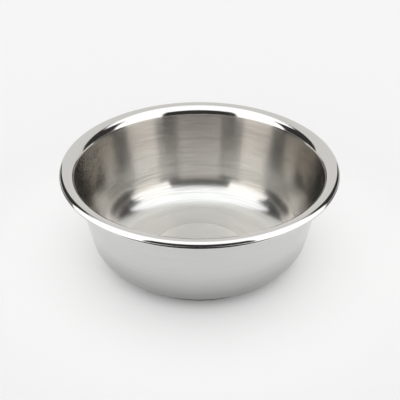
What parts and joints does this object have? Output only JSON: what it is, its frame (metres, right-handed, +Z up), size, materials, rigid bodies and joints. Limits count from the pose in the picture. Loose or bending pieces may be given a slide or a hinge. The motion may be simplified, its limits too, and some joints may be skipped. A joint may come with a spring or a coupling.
{
  "type": "pet bowl",
  "caption": "Round stainless steel feeding bowl with leaning walls, a big bottom bend, a narrow flat rim with a hollow rolled edge and a rubber non-slip ring under the base.",
  "frame": {"origin": "centre of the footprint, on the surface that the bowl stands on", "axes": "+Z up along the bowl's axis of revolution; +X and +Y are any two level directions, because the bowl is round"},
  "size_m": [0.22, 0.22, 0.0825],
  "materials": {
    "steel": "stainless sheet: circular brushed inside, satin outside, polished lip and rolled edge",
    "rubber": "matt black rubber"
  },
  "bodies": {
    "root": {"bowl_shell": "steel", "non_slip_ring": "rubber"}
  },
  "joints": []
}
